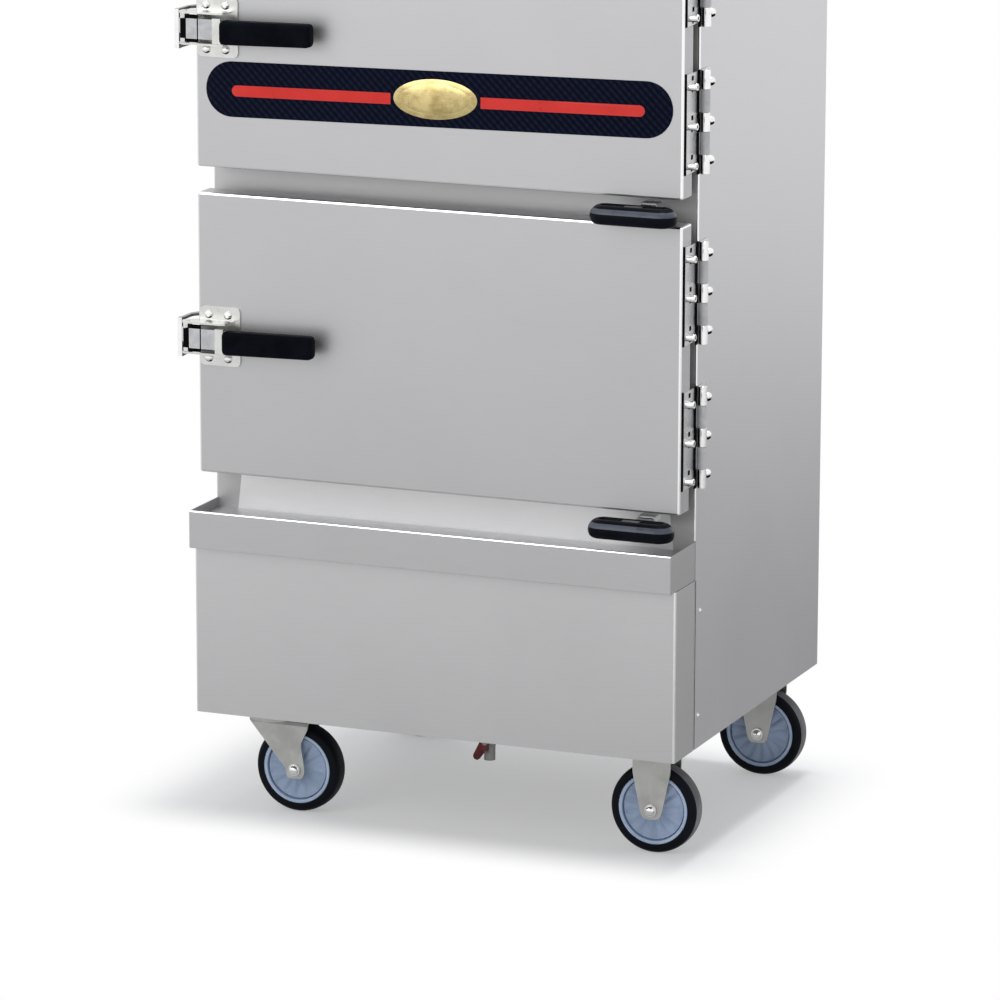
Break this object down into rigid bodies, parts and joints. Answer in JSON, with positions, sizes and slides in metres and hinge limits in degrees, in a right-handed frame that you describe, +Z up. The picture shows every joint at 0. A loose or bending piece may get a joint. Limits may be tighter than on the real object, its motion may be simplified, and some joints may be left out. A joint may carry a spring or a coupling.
{
  "type": "steamer cabinet",
  "caption": "Free-standing stainless steel food steamer cabinet with stacked tray compartments behind latched hinged doors, a drip gutter, a water tank and swivel and fixed casters.",
  "frame": {"origin": "centre of the bounding box's bottom face, on the floor", "axes": "+Z up, the doors face -Y, +X is the hinge side"},
  "size_m": [0.745, 0.615, 1.34],
  "materials": {
    "housing_steel": "brushed stainless sheet, fine grain along the sheet",
    "liner_steel": "smooth stainless sheet, slightly dulled by steam",
    "base_steel": "plain steel angle",
    "tank_steel": "stainless sheet, mill finish",
    "heater_steel": "stainless heater tube and flange",
    "gland_plastic": "moulded black nylon",
    "insulation_wool": "mineral wool",
    "hinge_steel": "satin stainless hinge leaves with bright cap bolts",
    "latch_steel": "zinc plated pressed steel",
    "latch_lever_steel": "polished steel",
    "latch_grip_rubber": "matt black rubber sleeve",
    "gasket_rubber": "matt dark rubber",
    "damper_grip_plastic": "moulded black plastic with a soft shine",
    "valve_metal": "cast and plated grey metal",
    "drain_lever_red": "dark red dipped coating",
    "axle_steel": "bright plated bolt and domed nuts",
    "caster_zinc": "zinc plated pressed steel, slightly cloudy",
    "wheel_hub_plastic": "blue grey moulded nylon",
    "tyre": "black moulded rubber"
  },
  "bodies": {
    "cabinet": {"back_panel": "housing_steel", "base_frame": "base_steel", "cable_gland": "gland_plastic", "drain_valve_body": "valve_metal", "drip_gutter": "housing_steel", "front_frame": "housing_steel", "front_left_caster_plate": "caster_zinc", "front_right_caster_axle": "axle_steel", "front_right_caster_fork": "caster_zinc", "front_skirt": "housing_steel", "heating_element": "heater_steel", "left_side_panel": "housing_steel", "lower_bottom_hinge_fixed_leaf": "hinge_steel", "lower_chamber_liner": "liner_steel", "lower_latch_keeper": "latch_steel", "lower_top_hinge_fixed_leaf": "hinge_steel", "rear_left_caster_plate": "caster_zinc", "rear_right_caster_axle": "axle_steel", "rear_right_caster_fork": "caster_zinc", "right_side_panel": "housing_steel", "top_panel": "housing_steel", "upper_bottom_hinge_fixed_leaf": "hinge_steel", "upper_chamber_liner": "liner_steel", "upper_latch_keeper": "latch_steel", "upper_top_hinge_fixed_leaf": "hinge_steel", "wall_insulation": "insulation_wool", "water_tank": "tank_steel"},
    "drain_lever": {"drain_valve_lever": "drain_lever_red"},
    "front_left_fork": {"front_left_caster_axle": "axle_steel", "front_left_caster_fork": "caster_zinc"},
    "front_left_wheel": {"front_left_wheel_hub": "wheel_hub_plastic", "front_left_wheel_tyre": "tyre"},
    "front_right_wheel": {"front_right_wheel_hub": "wheel_hub_plastic", "front_right_wheel_tyre": "tyre"},
    "lower_door": {"lower_bottom_hinge_door_leaf": "hinge_steel", "lower_door_gasket": "gasket_rubber", "lower_door_liner": "liner_steel", "lower_door_shell": "housing_steel", "lower_latch_bracket": "latch_steel", "lower_top_hinge_door_leaf": "hinge_steel"},
    "lower_damper": {"lower_damper_grip": "damper_grip_plastic", "lower_damper_plate": "liner_steel"},
    "lower_latch": {"lower_latch_grip": "latch_grip_rubber", "lower_latch_lever": "latch_lever_steel"},
    "rear_left_fork": {"rear_left_caster_axle": "axle_steel", "rear_left_caster_fork": "caster_zinc"},
    "rear_left_wheel": {"rear_left_wheel_hub": "wheel_hub_plastic", "rear_left_wheel_tyre": "tyre"},
    "rear_right_wheel": {"rear_right_wheel_hub": "wheel_hub_plastic", "rear_right_wheel_tyre": "tyre"},
    "upper_door": {"upper_bottom_hinge_door_leaf": "hinge_steel", "upper_door_gasket": "gasket_rubber", "upper_door_liner": "liner_steel", "upper_door_shell": "housing_steel", "upper_latch_bracket": "latch_steel", "upper_top_hinge_door_leaf": "hinge_steel"},
    "upper_damper": {"upper_damper_grip": "damper_grip_plastic", "upper_damper_plate": "liner_steel"},
    "upper_latch": {"upper_latch_grip": "latch_grip_rubber", "upper_latch_lever": "latch_lever_steel"}
  },
  "joints": [
    {"name": "upper_door_hinge", "type": "hinge", "parent": "cabinet", "child": "upper_door", "pos_m": [0.365, -0.2095, 1.105], "axis": [0, 0, 1], "range_deg": [0, 120]},
    {"name": "upper_latch_pivot", "type": "hinge", "parent": "upper_door", "child": "upper_latch", "pos_m": [-0.348, -0.2875, 1.1025], "axis": [0, 0, 1], "range_deg": [-30, 0]},
    {"name": "upper_damper_slide", "type": "slide", "parent": "cabinet", "child": "upper_damper", "axis": [0, -1, 0], "range_m": [0, 0.04]},
    {"name": "lower_door_hinge", "type": "hinge", "parent": "cabinet", "child": "lower_door", "pos_m": [0.365, -0.2095, 0.684], "axis": [0, 0, 1], "range_deg": [0, 120]},
    {"name": "lower_latch_pivot", "type": "hinge", "parent": "lower_door", "child": "lower_latch", "pos_m": [-0.348, -0.2875, 0.6815], "axis": [0, 0, 1], "range_deg": [-30, 0]},
    {"name": "lower_damper_slide", "type": "slide", "parent": "cabinet", "child": "lower_damper", "axis": [0, -1, 0], "range_m": [0, 0.04]},
    {"name": "drain_lever_pivot", "type": "hinge", "parent": "cabinet", "child": "drain_lever", "pos_m": [0.043, -0.1815, 0.127], "axis": [0, 1, 0], "range_deg": [-31, 59]},
    {"name": "front_left_swivel", "type": "hinge", "parent": "cabinet", "child": "front_left_fork", "pos_m": [-0.2765, -0.1725, 0.1355], "axis": [0, 0, 1], "continuous": true},
    {"name": "front_left_wheel_spin", "type": "hinge", "parent": "front_left_fork", "child": "front_left_wheel", "pos_m": [-0.2355, -0.1725, 0.0625], "axis": [0, 1, 0], "continuous": true},
    {"name": "front_right_wheel_spin", "type": "hinge", "parent": "cabinet", "child": "front_right_wheel", "pos_m": [0.2915, -0.1725, 0.0625], "axis": [0, 1, 0], "continuous": true},
    {"name": "rear_left_swivel", "type": "hinge", "parent": "cabinet", "child": "rear_left_fork", "pos_m": [-0.2765, 0.2525, 0.1355], "axis": [0, 0, 1], "continuous": true},
    {"name": "rear_left_wheel_spin", "type": "hinge", "parent": "rear_left_fork", "child": "rear_left_wheel", "pos_m": [-0.2355, 0.2525, 0.0625], "axis": [0, 1, 0], "continuous": true},
    {"name": "rear_right_wheel_spin", "type": "hinge", "parent": "cabinet", "child": "rear_right_wheel", "pos_m": [0.2915, 0.2525, 0.0625], "axis": [0, 1, 0], "continuous": true}
  ]
}
